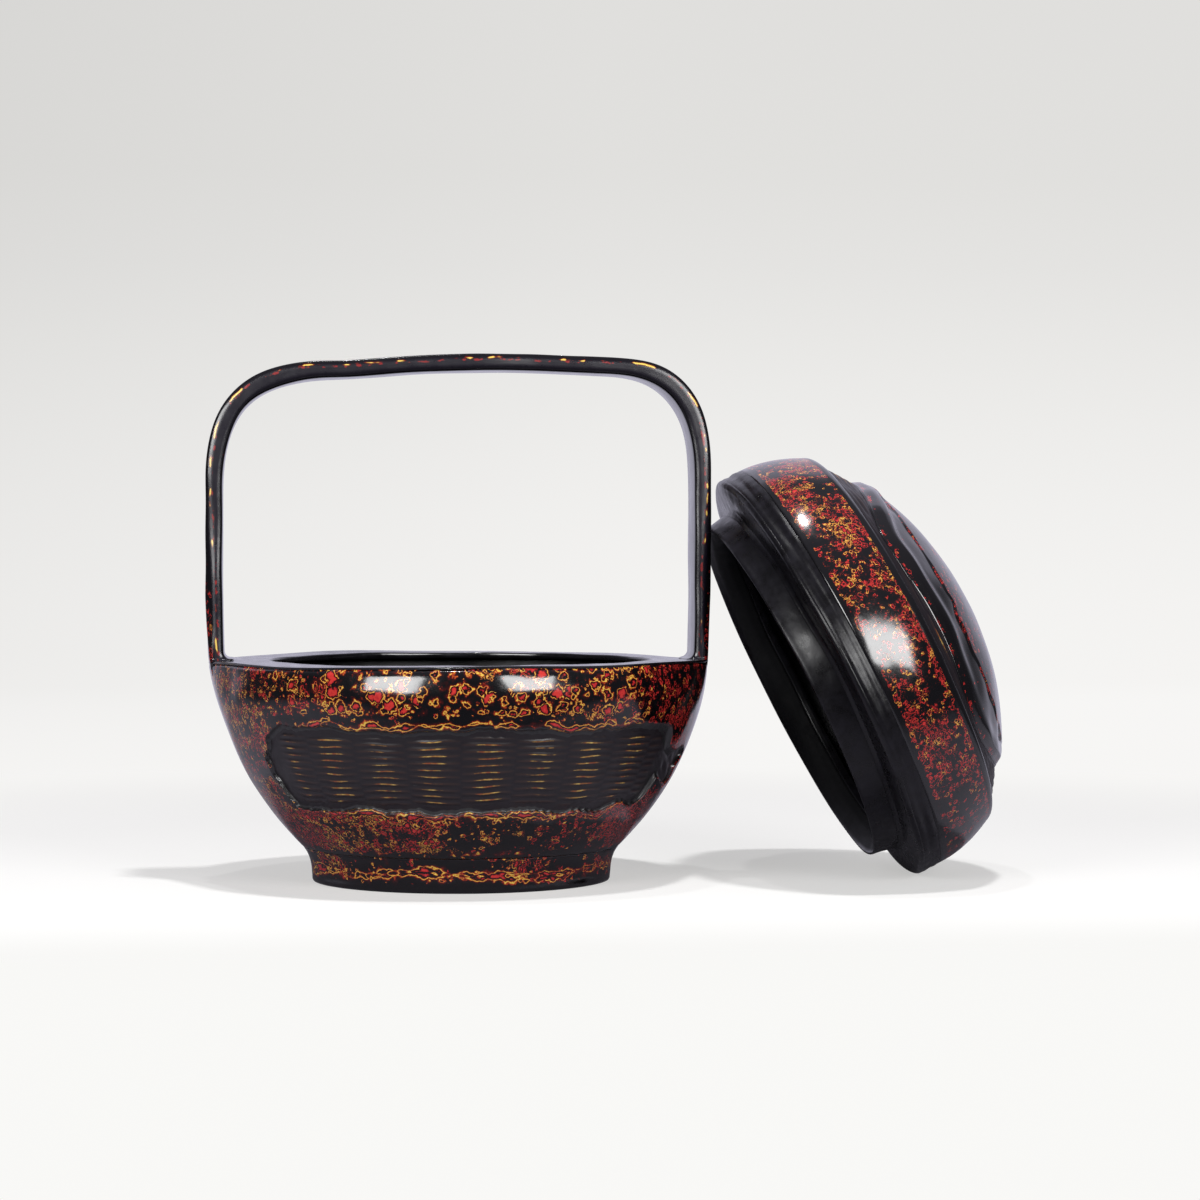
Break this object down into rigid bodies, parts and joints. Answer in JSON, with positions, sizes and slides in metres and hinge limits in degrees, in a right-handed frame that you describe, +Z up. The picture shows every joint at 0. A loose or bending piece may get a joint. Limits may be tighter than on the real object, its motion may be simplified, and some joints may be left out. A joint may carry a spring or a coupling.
{
  "type": "lacquered basket",
  "caption": "Round woven bamboo basket under speckled lacquer, with a fixed bow handle and a domed lid that leans beside it.",
  "frame": {"origin": "on the floor, under the middle of the box round the basket and its leaning lid", "axes": "+Z up; +X along the plane of the handle, from the basket to the lid; the windows face -Y and +Y"},
  "size_m": [0.2858, 0.1744, 0.1884],
  "materials": {
    "speckled_lacquer": "glossy black lacquer with rubbed-through red and gold speckle",
    "black_lacquer": "satin black lacquer, hand laid",
    "bamboo_weave": "woven bamboo strands under thin dark lacquer, golden brown on the ridges"
  },
  "bodies": {
    "basket": {"foot_ring": "speckled_lacquer", "base_plate": "black_lacquer", "woven_bowl": "bamboo_weave", "bowl_lining": "black_lacquer", "bowl_coat": "speckled_lacquer", "mouth_ledge": "black_lacquer", "handle_bow": "speckled_lacquer"},
    "lid": {"lid_collar": "black_lacquer", "lid_seat": "black_lacquer", "lid_edge_hoop": "black_lacquer", "woven_lid": "bamboo_weave", "lid_lining": "black_lacquer", "lid_side_coat": "speckled_lacquer", "lid_crown": "black_lacquer"}
  },
  "joints": [
    {"name": "lid_lift", "type": "slide", "parent": "basket", "child": "lid", "axis": [0.8965, 0, 0.4431], "range_m": [0, 0.16]}
  ]
}
